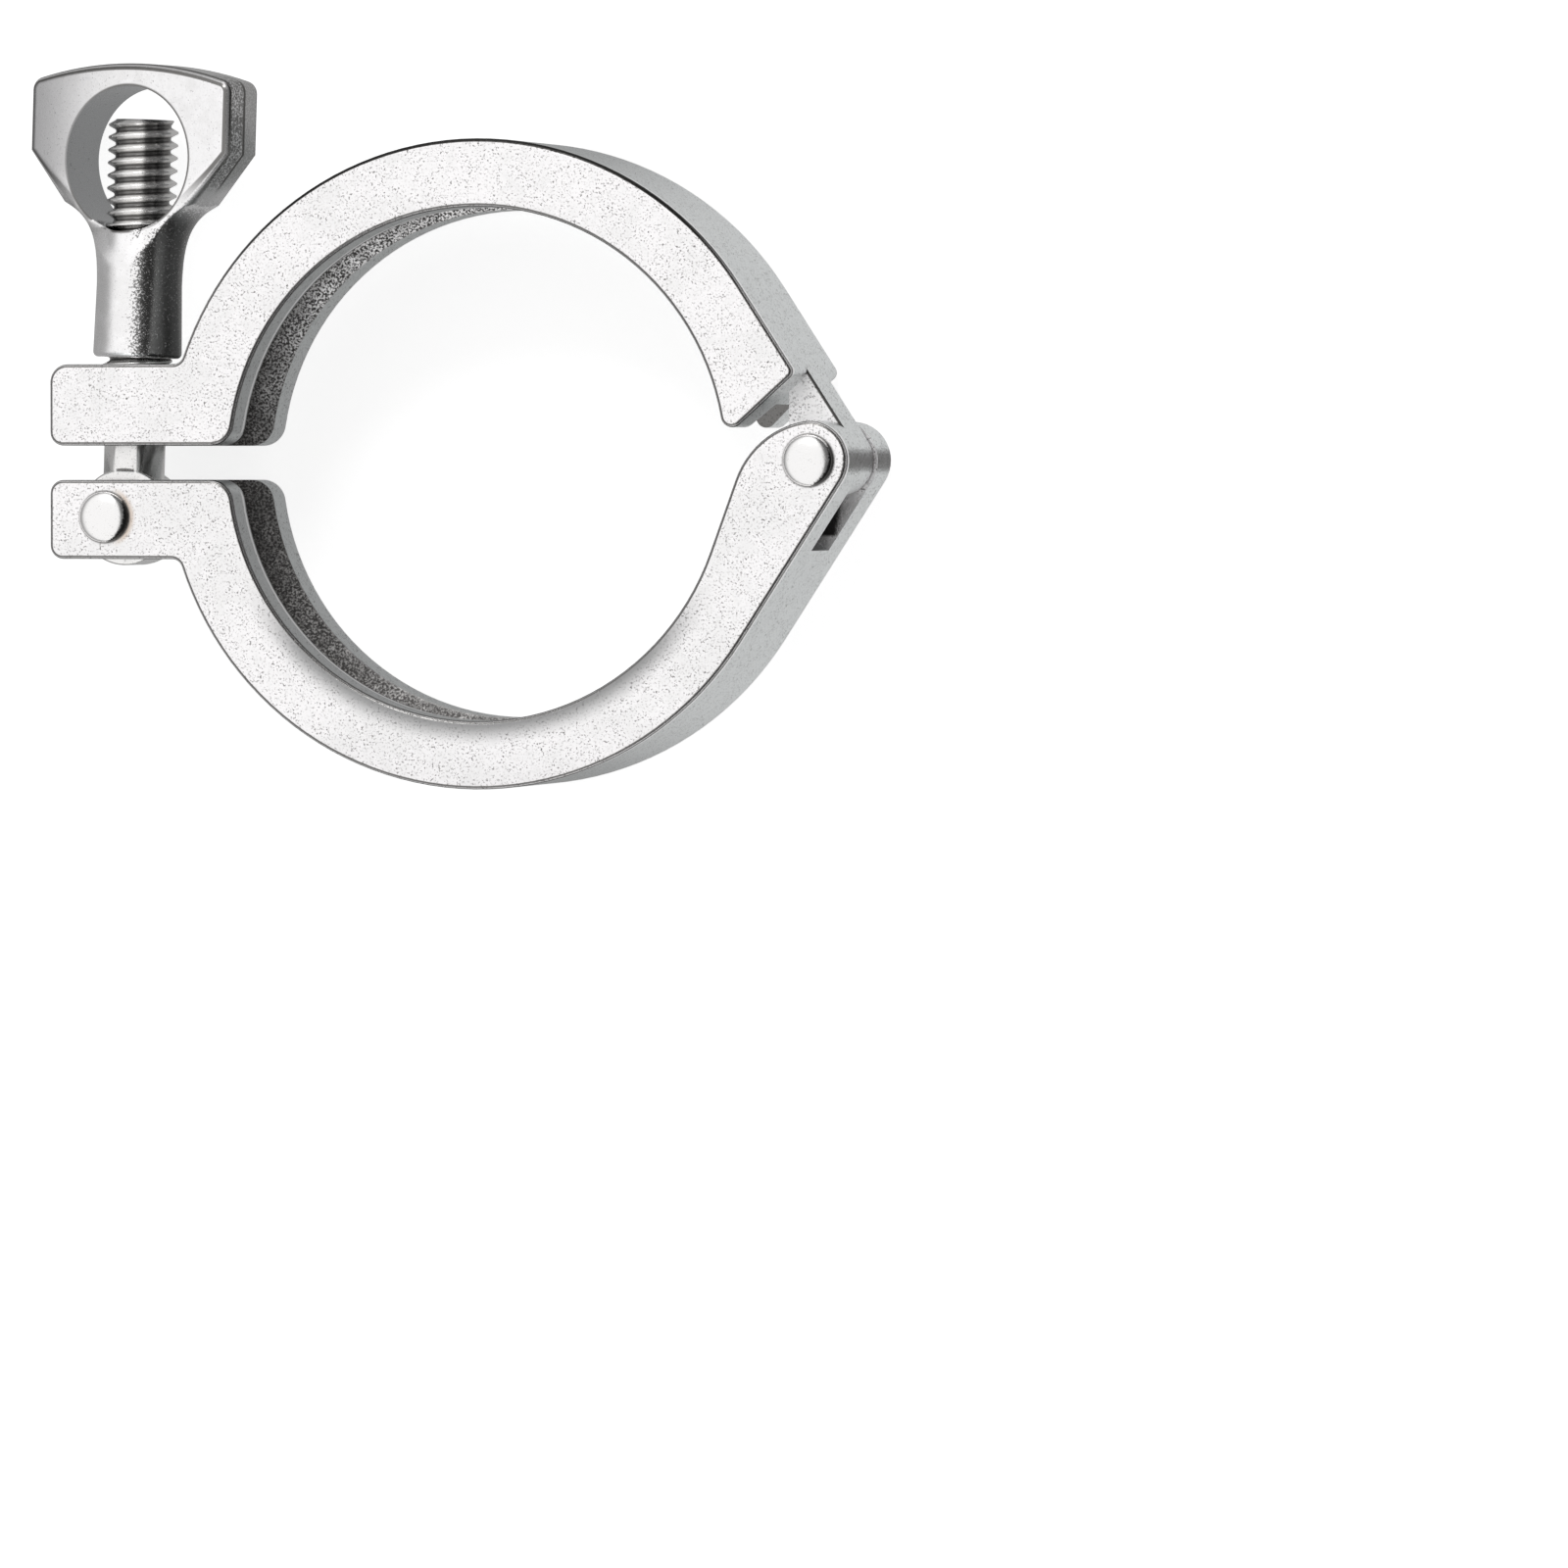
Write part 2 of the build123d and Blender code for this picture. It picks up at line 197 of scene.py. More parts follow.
def makeCastSkin(spec):
    group, given, result = startGroup(
        "cast skin",
        [("Pit Size", "Float", 1.0), ("Pit Amount", "Float", 0.5)],
        ("Pits", "Tone", "Height", "Grain"),
    )
    coords = addNode(group, "ShaderNodeTexCoord", (-1100, 0))
    scale = addMath(group, "DIVIDE", (-1100, -250), 1000.0, given["Pit Size"])
    inMm = addVector(group, "SCALE", (-900, 0), {0: coords.outputs["Object"], "Scale": scale})
    textures = []
    for row, name in enumerate(("fine", "peel", "slow")):
        inputs = {"Vector": inMm, **spec[name]}
        textures.append(addNode(group, "ShaderNodeTexNoise", (-650, 200 - 250 * row), inputs).outputs[0])
    fine, peel, slow = textures
    amount = given["Pit Amount"]
    start = addMath(group, "MULTIPLY_ADD", (-450, 350), amount, spec["pitSpread"], spec["pitStart"])
    depth = addMath(group, "SUBTRACT", (-250, 250), fine, start)
    spots = addMath(group, "MULTIPLY", (-50, 250), depth, spec["pitSharpness"], clamp=True)
    patches = addRamp(group, (-450, -50), peel, *spec["patches"])
    pits = addMath(group, "MULTIPLY", (150, 150), spots, patches, clamp=True)
    tone = addMath(group, "MULTIPLY", (150, -200), addMath(group, "ADD", (-50, -200), peel, slow), 0.5)
    swell = addMath(group, "MULTIPLY_ADD", (-50, 0), fine, spec["fineHeight"], peel)
    height = addMath(group, "SUBTRACT", (350, 0), swell, pits)
    fillInputs(group, result, {"Pits": pits, "Tone": tone, "Height": height, "Grain": fine})
    return group


# How far a surface has turned away from the flat faces that look along an axis (1 is a face, 0 a side)
turnSpec = {
    "innerLine": ((0.985, 0.955), (0.72, 0.84)),
    "outerLine": ((0.6, 0.5), (0.05, 0.2)),
    "side": (0.45, 0.1),
    "face": (0.9, 0.97),
}


def makeEdgeBand(spec):
    group, given, result = startGroup(
        "edge band", [("Face Axis", "Vector", (0.0, 0.0, 1.0))], ("Edge", "Side", "Face"))
    facing = addMath(group, "ABSOLUTE", (-300, 0), addFacing(group, (-900, 0), given["Face Axis"]))
    inner = addBand(group, (-100, 200), facing, *spec["innerLine"])
    outer = addBand(group, (-100, -100), facing, *spec["outerLine"])
    fillInputs(group, result, {
        "Edge": addMath(group, "MAXIMUM", (300, 50), inner, outer),
        "Side": addRamp(group, (100, -400), facing, *spec["side"]),
        "Face": addRamp(group, (100, -550), facing, *spec["face"]),
    })
    return group


# Where the painted shade, painted glints and painted highlight and dark reflection lines lie on the half
# rings, in millimetres.
# Each pair runs from none to full; where there are four numbers, the last two are how much it has at either
# end.
zoneSpec = {
    # painted shade in the V-groove and on the front lip
    "grooveBottom": (-0.45, -0.15),
    "grooveHalf": (5.25, 5.45, 1.0, 0.0),
    "lipDepth": (0.25, 0.1),
    "lipLevel": (4.5, 5.0),
    "lipShade": 0.2,
    "tongueAcross": (22.0, 26.0),
    "tongueUp": (-3.0, -1.0),
    # painted shade where the face turns towards the lower bore
    "boreShadeUp": (-12.0, -22.0),
    "boreShadeWidth": (3.0, 0.1),
    # painted shade in the slot between the cheeks, with a ragged edge
    "ragged": {"Scale": 900.0, "Detail": 3.0},
    "raggedSwing": 2.0,
    "slotShadeReach": (39.4, 38.8),
    "slotShadeHalf": (5.5, 5.0),
    "slotUp": (-8.1, -7.7),
    "slotAcross": (27.0, 24.0),
    # painted glints towards the back of the groove, more of them higher up
    "glintLevel": (-3.7, -5.3),
    "glintUp": (-2.0, 20.0, 0.12, 1.0),
    # painted highlight lines on the lip and on the web
    "lipLine": ((5.7, 5.85), (6.45, 6.25)),
    # painted dark reflection line at the lip's edge
    "lipEdge": ((5.65, 5.5), (5.2, 5.35)),
    "webLine": ((9.05, 9.2), (9.65, 9.5)),
    "webReach": (33.5, 34.5),
    # painted dark reflection line along the border of the tongue's outer side
    "tongueSide": (0.8377, 0.5461),  # across and up: where its outer side looks
    "tongueLevel": 3.5,
    "borderReach": (35.3, 35.45),
    "borderWidth": (0.25, 0.1),
    # painted dark reflection on the upward sides at the top
    "topUp": (15.0, 28.0),
}


# Painted shade where the light doesn't reach (the V-groove and the front lip, the slot between the cheeks,
# the lower bore edge), painted glints, and painted highlight and dark reflection lines along edges
def makeGrooveShade(spec):
    group, given, result = startGroup(
        "groove shade",
        [("Bore Radius", "Float", 28.2), ("Bottom Radius", "Float", 33.0)],
        ("Groove", "Bore Shade", "Slot Shade", "Glint", "Bright Line", "Dark Line", "Border", "Top"),
    )
    ramp, both = makeMaskTools(group, spec, -300)
    parts, radius = addPolar(group, (-1500, 0))
    across, upward, level = (parts[axis] for axis in "XYZ")
    half = addMath(group, "ABSOLUTE", (-500, -300), level)
    beyond = addMath(group, "SUBTRACT", (-500, 100), radius, given["Bore Radius"])
    toBottom = addMath(group, "SUBTRACT", (-500, -100), given["Bottom Radius"], radius)
    # Painted shade in the V-groove and, weaker, on the front lip, but not on the tongue
    inside = both(ramp(toBottom, "grooveBottom", 0), ramp(half, "grooveHalf", -150), 0)
    atLip = ramp(beyond, "lipDepth", 150)
    lip = both(both(atLip, ramp(level, "lipLevel", 300), 150), spec["lipShade"], 200)
    tongue = both(ramp(across, "tongueAcross", 450), ramp(upward, "tongueUp", 600), 450)
    ring = addMath(group, "SUBTRACT", (100, 450), 1.0, tongue)
    shaded = both(both(inside, lip, 100, "MAXIMUM"), ring, 100)
    slot = both(ramp(upward, "slotUp", 750), ramp(across, "slotAcross", 900), 750, "MAXIMUM")

    # Painted shade on the cheeks seen through the slot, with a ragged edge
    ragged = addNode(group, "ShaderNodeTexNoise", (-900, -800), spec["ragged"])
    wander = addMath(group, "MULTIPLY_ADD", (-700, -800), ragged.outputs[0], spec["raggedSwing"], radius)
    slotShade = both(ramp(wander, "slotShadeReach", -300), ramp(half, "slotShadeHalf", -450), -300)

    # Painted highlight lines on the lip and on the web
    lipLine = addBand(group, (-300, -600), level, *spec["lipLine"])
    webLine = addBand(group, (-300, -900), level, *spec["webLine"])
    # Painted dark reflection line at the lip's edge
    lipEdge = addBand(group, (-300, -1200), level, *spec["lipEdge"])
    onWeb = both(webLine, ramp(radius, "webReach", -1050), -900)

    # Painted dark reflection line along the border of the tongue's outer side
    sideAcross, sideUp = spec["tongueSide"]
    outward = addMath(group, "MULTIPLY", (-700, -1500), across, sideAcross)
    outward = addMath(group, "MULTIPLY_ADD", (-500, -1500), upward, sideUp, outward)
    offLevel = addMath(group, "ABSOLUTE", (-500, -1650), addMath(
        group, "SUBTRACT", (-700, -1650), level, spec["tongueLevel"]))
    fillInputs(group, result, {
        "Groove": both(shaded, slot, 0),
        "Bore Shade": both(ramp(upward, "boreShadeUp", -1800), ramp(beyond, "boreShadeWidth", -1950), -1800),
        "Slot Shade": both(slotShade, slot, -450),
        "Glint": both(ramp(level, "glintLevel", -2100), ramp(upward, "glintUp", -2250), -2100),
        "Bright Line": both(both(lipLine, atLip, -600), onWeb, -750, "MAXIMUM"),
        "Dark Line": both(lipEdge, atLip, -1200),
        "Border": both(ramp(outward, "borderReach", -1500), ramp(offLevel, "borderWidth", -1650), -1500),
        "Top": ramp(upward, "topUp", -2400),
    })
    return group


# Ring of grime and shade on the casting right round a pin head, in millimetres
stainSpec = {
    "frontLevel": (9.0, 9.8),
    "shadeWidth": (0.3, 0.0),
    "stainWidth": (0.9, 0.2),
    "stainAcross": (0.5, 2.5),
}


def makePinStain(spec):
    group, given, result = startGroup(
        "pin stain",
        [("Centre", "Vector", (0.0, 0.0, 0.0)), ("Head Radius", "Float", 2.8)],
        ("Shade", "Stain"),
    )
    ramp, both = makeMaskTools(group, spec, 300)
    parts, length = addPolar(group, (-1100, 0), given["Centre"])
    away = addMath(group, "SUBTRACT", (100, 0), length, given["Head Radius"])
    front = ramp(parts["Z"], "frontLevel", -150)
    right = ramp(parts["X"], "stainAcross", -300)
    fillInputs(group, result, {
        "Shade": both(ramp(away, "shadeWidth", 0), front, 0),
        "Stain": both(both(ramp(away, "stainWidth", -450), right, -300), front, -150),
    })
    return group


castSkin = makeCastSkin(skinSpec)
edgeBand = makeEdgeBand(turnSpec)
grooveShade = makeGrooveShade(zoneSpec)
pinStain = makePinStain(stainSpec)


def placeGroup(tree, group, place, values=None):
    return addNode(tree, "ShaderNodeGroup", place, values, node_tree=group).outputs


def startMetal(name):
    material = bpy.data.materials.new(name)
    material.use_nodes = True
    shader = material.node_tree.nodes["Principled BSDF"]
    fillInputs(material.node_tree, shader, {"Metallic": 1.0})
    return material, material.node_tree, shader


def finishMetal(tree, shader, finish, colour, rough, height):
    inputs = {"Height": height, "Strength": finish["bumpStrength"], "Distance": finish["bumpDistance"]}
    bump = addNode(tree, "ShaderNodeBump", (200, -300), inputs)
    fillInputs(tree, shader, {"Base Color": colour, "Roughness": rough, "Normal": bump.outputs["Normal"]})


# Cast and tumbled steel of the two half rings
ringFinish = {
    "faceColour": (0.99, 0.975, 0.98, 1.0),
    "toneColour": (0.92, 0.91, 0.91, 1.0),
    "pitColour": (0.18, 0.17, 0.165, 1.0),
    # painted dark reflection on rounded edges, and painted shade round the pin heads
    "edgeShadeColour": (0.20, 0.195, 0.19, 1.0),
    # painted shade on the sides that look away from the front
    "sideShadeColour": (0.72, 0.74, 0.74, 1.0),
    # painted shade in the V-groove and in the slot between the cheeks
    "grooveShadeColour": (0.045, 0.043, 0.042, 1.0),
    "grainColour": (0.36, 0.35, 0.34, 1.0),
    # painted shade at the lower bore edge
    "boreShadeColour": (0.30, 0.30, 0.30, 1.0),
    "stainColour": (0.72, 0.62, 0.54, 1.0),
    # painted dark reflection lines, and on the round ends at the hinge
    "darkReflectionColour": (0.08, 0.078, 0.076, 1.0),
    # painted glints in the groove
    "glintColour": (0.95, 0.94, 0.94, 1.0),
    # painted highlight lines
    "lineColour": (0.99, 0.985, 0.985, 1.0),
    # painted dark reflection on the upward sides at the top
    "topReflectionColour": (0.035, 0.034, 0.033, 1.0),
    # painted shade, darker towards the bottom
    "lowShadeColour": (0.0, 0.0, 0.0, 1.0),
    "toneRange": (0.38, 0.56),
    "grainRange": (0.44, 0.74),
    "glintRange": (0.44, 0.58),
    "lowDown": (20.0, 42.0, 0.0, 0.15),  # millimetres below the bolt pin, and how much darker it gets
    # painted dark reflection on the round ends at the hinge
    "hingeReflection": (0.965, 1.04),  # how squarely the round ends at the hinge look to the right
    "hingeMottle": 0.08,
    "hingeFade": 2.0,
    "topUpward": (0.12, 0.3),
    "topForward": (0.05, 0.2),
    "faceRoughness": 0.36,
    "edgeRoughness": 0.24,
    "pitRoughness": 0.2,
    "grooveRoughness": 0.1,
    "skin": {"Pit Size": 1.0, "Pit Amount": 0.92},
    "bumpStrength": 0.35,
    "bumpDistance": 0.06 * mm,
}


# Colour and roughness that every casting gets: its skin, painted dark reflection lines on the rounded edges
# and painted shade on the sides
def addCastColours(tree, finish, faceAxis, edged=None):
    skin = placeGroup(tree, castSkin, (-900, 200), finish["skin"])
    edge = placeGroup(tree, edgeBand, (-900, -100), {"Face Axis": faceAxis})
    toned = addMix(tree, (-600, 300), addRamp(tree, (-750, 350), skin["Tone"], *finish["toneRange"]),
                   finish["toneColour"], finish["faceColour"])
    side, band = edge["Side"], edge["Edge"]
    if edged:
        side, band = (addMath(tree, "MULTIPLY", (-750, -100), mask, edged) for mask in (side, band))
    # Painted shade on the sides and painted dark reflection lines on the rounded edges, then the real pits
    colour = addLayers(tree, (-400, 300), toned, (
        (side, finish["sideShadeColour"]), (band, finish["edgeShadeColour"]), (skin["Pits"], finish["pitColour"])))
    rough = addMath(tree, "MULTIPLY", (-400, 0), band, finish["edgeRoughness"] - finish["faceRoughness"])
    base = addMath(tree, "ADD", (-200, 0), rough, finish["faceRoughness"])
    pitRough = addMath(tree, "MULTIPLY", (-200, -150), skin["Pits"], finish["pitRoughness"])
    return skin, edge, colour, addMath(tree, "ADD", (0, 0), base, pitRough)


def makeRingSteel(name, finish, pins):
    material, tree, shader = startMetal(name)
    skin, edge, colour, rough = addCastColours(tree, finish, (0, 0, 1))
    groove = placeGroup(tree, grooveShade, (-900, -350))
    ramp, both = makeMaskTools(tree, finish, -700)

    rightward = addAlong(tree, (-1500, 1200), Vector((1, 0, 0)))
    downward = addAlong(tree, (-1500, 1400), Vector((0, -1, 0)))
    hingeAcross = (hingePin - boltPin).x * 1000
    atHinge = addRamp(tree, (-900, 1200), rightward, hingeAcross, hingeAcross + finish["hingeFade"])
    roundEnd = addMath(tree, "MULTIPLY_ADD", (-900, 1400), skin["Grain"], finish["hingeMottle"],
                       addFacing(tree, (-1500, 1600), (1, 0, 0)))
    forward = addMath(tree, "ABSOLUTE", (-900, 1950), addFacing(tree, (-1500, 1950), (0, 0, 1)))
    topSide = both(groove["Top"], ramp(addFacing(tree, (-1500, 1800), (0, 1, 0)), "topUpward", 1800), 1800)

    layers = []
    # Painted shade in the slot between the cheeks, dark as the groove
    if pins:
        layers.append((both(groove["Slot Shade"], edge["Face"], -500), finish["grooveShadeColour"]))
    # Painted shade where the face turns towards the lower bore
    layers.append((both(groove["Bore Shade"], edge["Face"], -350), finish["boreShadeColour"]))
    # Painted dark reflection on the round ends at the hinge that look to the right
    layers.append((both(atHinge, ramp(roundEnd, "hingeReflection", 1400), 1200), finish["darkReflectionColour"]))
    # Painted shade, darker towards the bottom
    layers.append((ramp(downward, "lowDown", 1600), finish["lowShadeColour"]))
    # A real brown stain beside the bolt pin's head, and painted shade right round each pin head
    for place in pins:
        stain = placeGroup(tree, pinStain, (-900, -600), {"Centre": (place.x, place.y, 0)})
        if place == boltPin:
            layers.append((stain["Stain"], finish["stainColour"]))
        layers.append((stain["Shade"], finish["edgeShadeColour"]))
    # Painted shade in the V-groove, broken by lighter grain
    deep = finish["grooveShadeColour"]
    grain = addMix(tree, (0, 900), ramp(skin["Grain"], "grainRange", 900), deep, finish["grainColour"])
    # Painted glints, mixed in towards the back of the groove
    glinting = addMix(tree, (0, 1050), ramp(skin["Grain"], "glintRange", 1050), deep, finish["glintColour"])
    layers.append((groove["Groove"], addMix(tree, (0, 1200), groove["Glint"], grain, glinting)))
    # Painted highlight lines on the lip and on the web
    layers.append((both(groove["Bright Line"], edge["Side"], -750), finish["lineColour"]))
    # Painted dark reflection lines at the lip's edge and along the tongue's border
    layers.append((groove["Dark Line"], finish["darkReflectionColour"]))
    layers.append((both(groove["Border"], edge["Face"], -900), finish["darkReflectionColour"]))
    # Painted dark reflection on the upward sides at the top of the ring
    layers.append((both(topSide, ramp(forward, "topForward", 1950), 1950), finish["topReflectionColour"]))
    colour = addLayers(tree, (150, 450), colour, layers)

    extra = addMath(tree, "MULTIPLY", (0, -150), groove["Groove"], finish["grooveRoughness"])
    rough = addMath(tree, "ADD", (150, 0), rough, extra)
    finishMetal(tree, shader, finish, colour, rough, skin["Height"])
    return material


# The nut is the same casting with a brighter shank that has a painted dark reflection on its right; painted
# shade darkens its head on the left, and a mould line runs round it. Distances are in millimetres, upward
# from the bolt pin.
nutFinish = {
    "faceColour": (0.98, 0.97, 0.975, 1.0),
    "toneColour": (0.90, 0.89, 0.89, 1.0),
    "pitColour": (0.30, 0.29, 0.285, 1.0),
    # painted dark reflection on rounded edges and round the hole's rim
    "edgeShadeColour": (0.20, 0.195, 0.19, 1.0),
    # painted shade on the sides that look away from the front
    "sideShadeColour": (0.66, 0.655, 0.65, 1.0),
    # painted shade on the head, darker towards the left
    "headShadeColour": (0.42, 0.415, 0.42, 1.0),
    "lineColour": (0.16, 0.155, 0.15, 1.0),
    # painted shade on the wall of the round hole
    "wallShadeColour": (0.48, 0.485, 0.49, 1.0),
    # painted dark reflection on the shank's right side, with lighter specks
    "shadeColour": (0.15, 0.148, 0.146, 1.0),
    "speckColour": (0.5, 0.49, 0.49, 1.0),
    "toneRange": (0.38, 0.56),
    "speckRange": (0.56, 0.72),
    "tornRange": (0.44, 0.62),
    "faceRoughness": 0.26,
    "edgeRoughness": 0.2,
    "pitRoughness": 0.2,
    "skin": {"Pit Size": 1.0, "Pit Amount": 0.4},
    "bumpStrength": 0.4,
    "bumpDistance": 0.06 * mm,
    "head": (34.0, 39.0),  # where the shank, which has no edges, becomes the head
    # painted shade towards the left of the head
    "headShade": (-1.0, -13.0),  # across the head
    "mouldLine": (0.32, 0.12),  # to the front and back of the middle
    "narrowSides": (9.5, 11.0),
    "torn": (-0.4, 0.4, 0.25, 0.8),  # rough strips on the narrow sides, from back to front
    "shade": (0.46, 0.55),  # how far the shank has turned to the right where its dark side starts
    "shadeMottle": 1.4,
    "shadeUp": (37.0, 32.0),
    "eyeletHeight": 39.81,
    "eyeletRadius": 8.1,
    # painted dark reflection line round the rim of the round hole
    "rim": (0.34, 0.1),
    "wall": (8.6, 8.3),
}


def makeNutSteel(name, finish):
    material, tree, shader = startMetal(name)
    across = addAlong(tree, (-1500, -400), nutAcross)
    upward = addAlong(tree, (-1500, -600), boltUp)
    through = addAlong(tree, (-1500, -800), nutFacing)
    ramp, both = makeMaskTools(tree, finish, -700)
    head = ramp(upward, "head", -600)
    skin, edge, colour, rough = addCastColours(tree, finish, nutFacing, head)
    # Painted shade on the head, darker towards the left
    headShade = both(both(ramp(across, "headShade", -400), head, -400), edge["Face"], -500)
    narrow = ramp(addMath(tree, "ABSOLUTE", (-900, -1000), across), "narrowSides", -1000)
    line = both(ramp(addMath(tree, "ABSOLUTE", (-900, -800), through), "mouldLine", -800), edge["Side"], -700)
    line = both(line, narrow, -800)
    torn = both(both(narrow, edge["Side"], -950), ramp(through, "torn", -1100), -1100)
    tornColour = addMix(tree, (0, 750), ramp(skin["Grain"], "tornRange", 750), finish["lineColour"],
                        finish["faceColour"])

    # Painted dark reflection on the shank's right side, mottled by grain and broken by lighter specks
    mottle = finish["shadeMottle"]
    mottled = addMath(tree, "MULTIPLY_ADD", (-900, -1200), skin["Grain"], mottle,
                      addFacing(tree, (-1500, -1200), nutAcross))
    darker = addRamp(tree, (-700, -1200), mottled, *(turn + mottle / 2 for turn in finish["shade"]))
    specked = addMix(tree, (0, 1000), ramp(skin["Grain"], "speckRange", 1000), finish["shadeColour"],
                     finish["speckColour"])

    # Painted shade on the wall of the round hole
    rise = addMath(tree, "SUBTRACT", (-1100, -1500), upward, finish["eyeletHeight"])
    squares = [addMath(tree, "POWER", (-900, -1500), value, 2.0) for value in (across, rise)]
    span = addMath(tree, "SQRT", (-850, -1650), addMath(tree, "ADD", (-900, -1650), *squares))
    # Painted dark reflection line round the rim of the round hole
    rim = ramp(addMath(tree, "SUBTRACT", (-850, -1800), span, finish["eyeletRadius"]), "rim", -1500)
    wallShadeColour = addMix(tree, (0, 1200), skin["Pits"], finish["wallShadeColour"], finish["pitColour"])

    colour = addLayers(tree, (150, 450), colour, (
        (both(darker, ramp(upward, "shadeUp", -1350), -1200), specked),
        (both(ramp(span, "wall", -1650), edge["Side"], -1650), wallShadeColour),
        (both(rim, edge["Face"], -1500), finish["edgeShadeColour"]),
        (headShade, finish["headShadeColour"]),
        (torn, tornColour),
        (line, finish["lineColour"]),
    ))
    lowered = addMath(tree, "SUBTRACT", (0, -350), skin["Height"], line)
    finishMetal(tree, shader, finish, colour, rough, lowered)
    return material


# Bright drawn steel of the pins, with a mottled painted dark reflection in a crescent low on the right of
# each head
pinFinish = {
    "colour": (0.93, 0.92, 0.915, 1.0),
    "scuffColour": (0.45, 0.44, 0.43, 1.0),
    # painted dark reflection in the crescent
    "shadeColour": (0.10, 0.097, 0.095, 1.0),
    "skin": {"Pit Size": 0.8, "Pit Amount": 0.35},
    "roughness": (0.3, 0.7, 0.12, 0.26),
    "crescentSide": (0.93, -0.37, 0.0),
    "crescent": (0.66, 0.76),
    "crescentMottle": 0.5,
    "bumpStrength": 0.25,
    "bumpDistance": 0.05 * mm,
}


def makePinSteel(finish):
    material, tree, shader = startMetal("pin steel")
    skin = placeGroup(tree, castSkin, (-700, 200), finish["skin"])
    # Painted dark reflection, a crescent low on the right of each head
    lowRight = addMath(tree, "MULTIPLY_ADD", (-700, 600), skin["Grain"], finish["crescentMottle"],
                       addFacing(tree, (-1300, 600), finish["crescentSide"]))
    crescent = addRamp(tree, (-500, 600), lowRight, *finish["crescent"])
    colour = addLayers(tree, (-300, 300), finish["colour"], (
        (skin["Pits"], finish["scuffColour"]), (crescent, finish["shadeColour"])))
    rough = addRamp(tree, (-300, 0), skin["Tone"], *finish["roughness"])
    finishMetal(tree, shader, finish, colour, rough, skin["Height"])
    return material


# Machined steel of the bolt, with painted shade at the roots of its thread
boltFinish = {
    "colour": (0.90, 0.89, 0.88, 1.0),
    "scuffColour": (0.30, 0.29, 0.28, 1.0),
    # painted shade at the thread's roots
    "rootShadeColour": (0.20, 0.195, 0.19, 1.0),
    "skin": {"Pit Size": 0.7, "Pit Amount": 0.5},
    "roughness": (0.3, 0.7, 0.14, 0.28),
    "root": (3.65, 3.05),  # millimetres from the bolt's axis
    "threaded": (10.0, 11.0),  # millimetres from the pin
    "bumpStrength": 0.3,
    "bumpDistance": 0.05 * mm,
}


def makeBoltSteel(finish):
    material, tree, shader = startMetal("bolt steel")
    skin = placeGroup(tree, castSkin, (-700, 200), finish["skin"])
    squares = [addMath(tree, "POWER", (-900, -300), addAlong(tree, (-1500, -400), axis), 2.0)
               for axis in (nutAcross, nutFacing)]
    away = addMath(tree, "SQRT", (-500, -300), addMath(tree, "ADD", (-700, -300), *squares))
    threaded = addRamp(tree, (-300, -500), addAlong(tree, (-1500, -200), boltUp), *finish["threaded"])
    # Painted shade at the roots of the thread
    deep = addRamp(tree, (-300, -300), away, *finish["root"])
    root = addMath(tree, "MULTIPLY", (-100, -300), deep, threaded)
    colour = addLayers(tree, (-300, 300), finish["colour"], (
        (skin["Pits"], finish["scuffColour"]), (root, finish["rootShadeColour"])))
    rough = addRamp(tree, (-300, 0), skin["Tone"], *finish["roughness"])
    finishMetal(tree, shader, finish, colour, rough, skin["Height"])
    return material


materials = {
    "lower_half": makeRingSteel("lower half steel", ringFinish, (boltPin, hingePin)),
    "upper_half": makeRingSteel("upper half steel", ringFinish, ()),
    "wing_nut": makeNutSteel("nut steel", nutFinish),
    "pins": makePinSteel(pinFinish),
    "eye_bolt": makeBoltSteel(boltFinish),
}
for name in ("lower_half", "upper_half", "wing_nut"):
    for slot in nodes[name].material_slots:
        slot.material = materials[name]
print("materials made:", len(materials))


sharpAngle = 38.0  # degrees between two faces from which their edge is shown sharp


# A finer mesh that is shown instead of its solid and moves with the same body
def showInstead(name, mesh, body, material):
    piece = bpy.data.objects.new(name, mesh)
    bpy.context.scene.collection.objects.link(piece)
    mesh.materials.clear()
    mesh.materials.append(material)
    for face in mesh.polygons:
        face.use_smooth = True
        face.material_index = 0
    mesh.set_sharp_from_angle(angle=radians(sharpAngle))
    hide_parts(name.removeprefix("shown_"))
    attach(piece, body)


joinGap = 0.0005 * mm  # corners nearer than this are one corner


def joinCorners(shell):
    bmesh.ops.remove_doubles(shell, verts=shell.verts, dist=joinGap)


def turnOutward(shell):
    bmesh.ops.recalc_face_normals(shell, faces=shell.faces)


def closeHoles(shell):
    bmesh.ops.holes_fill(shell, edges=[edge for edge in shell.edges if edge.is_boundary], sides=0)


# Does some steps on a mesh, in place or into a new one
def workOn(mesh, steps, result=None):
    shell = bmesh.new()
    shell.from_mesh(mesh)
    for step in steps:
        step(shell)
    result = result or mesh
    shell.to_mesh(result)
    shell.free()
    return result


# Eye bolt with its real thread, rolled on the shank above the eye
threadSpec = {
    "pitch": 1.411 * mm,
    "majorRadius": 3.9 * mm,
    "shankRadius": 3.39 * mm,
    "depth": 0.84 * mm,
    "start": 9.3 * mm,  # from the pin along the bolt
    "end": 44.2 * mm,
    "foot": 0.8 * mm,  # stretch that stays buried in the shank
    "runOut": 1.7 * mm,
    "endChamfer": 0.6 * mm,
    "sides": 96,
    # one turn of the flank: how far along the pitch, and how high between root and crest
    "flank": (
        (0.0, 1.0), (0.09, 1.0), (0.145, 0.93), (0.4, 0.13),
        (0.47, 0.02), (0.62, 0.02), (0.69, 0.13), (0.945, 0.93),
    ),
}


